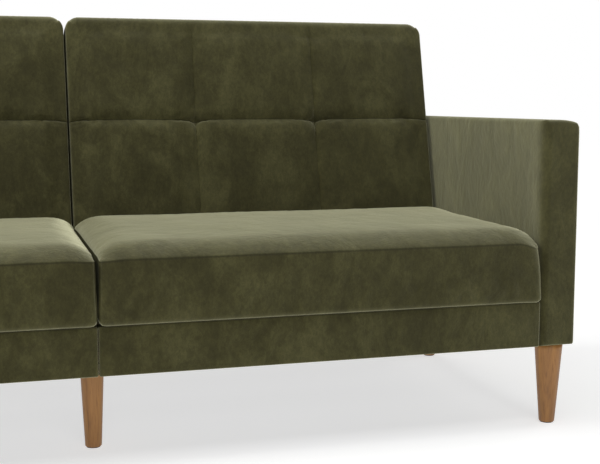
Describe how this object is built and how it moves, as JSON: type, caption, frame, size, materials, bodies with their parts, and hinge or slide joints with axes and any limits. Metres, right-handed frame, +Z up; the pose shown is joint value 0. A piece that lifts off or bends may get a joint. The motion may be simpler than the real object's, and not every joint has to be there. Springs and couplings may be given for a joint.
{
  "type": "split-back sofa bed",
  "caption": "Velvet split-back sofa bed with track arms and tapered wooden legs; each half of the back reclines level with the seat to make a bed.",
  "frame": {"origin": "on the floor, under the middle of the sofa bed's outline in width and depth", "axes": "+Z up, front towards -Y, +X to the right as seen from the front"},
  "size_m": [1.96, 0.7824, 0.8745],
  "materials": {
    "velvet": "matte",
    "leg_wood": "satin",
    "timber": "matte",
    "plywood": "matte",
    "zinc_plated_steel": "satin",
    "dust_cloth": "matte",
    "nylon": "matte"
  },
  "bodies": {
    "base": {"centre_glide": "nylon", "centre_leg": "leg_wood", "centre_leg_plate": "zinc_plated_steel", "left_arm_core": "timber", "left_arm_cover": "velvet", "left_centre_rail": "timber", "left_dust_cover": "dust_cloth", "left_front_arm_bolt": "zinc_plated_steel", "left_front_glide": "nylon", "left_front_leg": "leg_wood", "left_front_leg_plate": "zinc_plated_steel", "left_front_rail": "timber", "left_front_rail_cover": "velvet", "left_inner_hinge_pin": "zinc_plated_steel", "left_inner_seat_plate": "zinc_plated_steel", "left_outer_hinge_pin": "zinc_plated_steel", "left_outer_seat_plate": "zinc_plated_steel", "left_rear_arm_bolt": "zinc_plated_steel", "left_rear_glide": "nylon", "left_rear_leg": "leg_wood", "left_rear_leg_plate": "zinc_plated_steel", "left_rear_rail": "timber", "left_rear_rail_cover": "velvet", "left_seat_cushion": "velvet", "left_seat_deck": "plywood", "left_side_rail": "timber", "right_arm_core": "timber", "right_arm_cover": "velvet", "right_centre_rail": "timber", "right_dust_cover": "dust_cloth", "right_front_arm_bolt": "zinc_plated_steel", "right_front_glide": "nylon", "right_front_leg": "leg_wood", "right_front_leg_plate": "zinc_plated_steel", "right_front_rail": "timber", "right_front_rail_cover": "velvet", "right_inner_hinge_pin": "zinc_plated_steel", "right_inner_seat_plate": "zinc_plated_steel", "right_outer_hinge_pin": "zinc_plated_steel", "right_outer_seat_plate": "zinc_plated_steel", "right_rear_arm_bolt": "zinc_plated_steel", "right_rear_glide": "nylon", "right_rear_leg": "leg_wood", "right_rear_leg_plate": "zinc_plated_steel", "right_rear_rail": "timber", "right_rear_rail_cover": "velvet", "right_seat_cushion": "velvet", "right_seat_deck": "plywood", "right_side_rail": "timber"},
    "left_back": {"left_back_cushion": "velvet", "left_back_frame": "timber", "left_back_rear_cover": "velvet", "left_inner_back_plate": "zinc_plated_steel", "left_outer_back_plate": "zinc_plated_steel"},
    "right_back": {"right_back_cushion": "velvet", "right_back_frame": "timber", "right_back_rear_cover": "velvet", "right_inner_back_plate": "zinc_plated_steel", "right_outer_back_plate": "zinc_plated_steel"}
  },
  "joints": [
    {"name": "left_back_recline", "type": "hinge", "parent": "base", "child": "left_back", "pos_m": [-0.02665, 0.23084, 0.322], "axis": [-1, 0, 0], "range_deg": [-8, 76.5]},
    {"name": "right_back_recline", "type": "hinge", "parent": "base", "child": "right_back", "pos_m": [0.02665, 0.23084, 0.322], "axis": [-1, 0, 0], "range_deg": [-8, 76.5]}
  ]
}
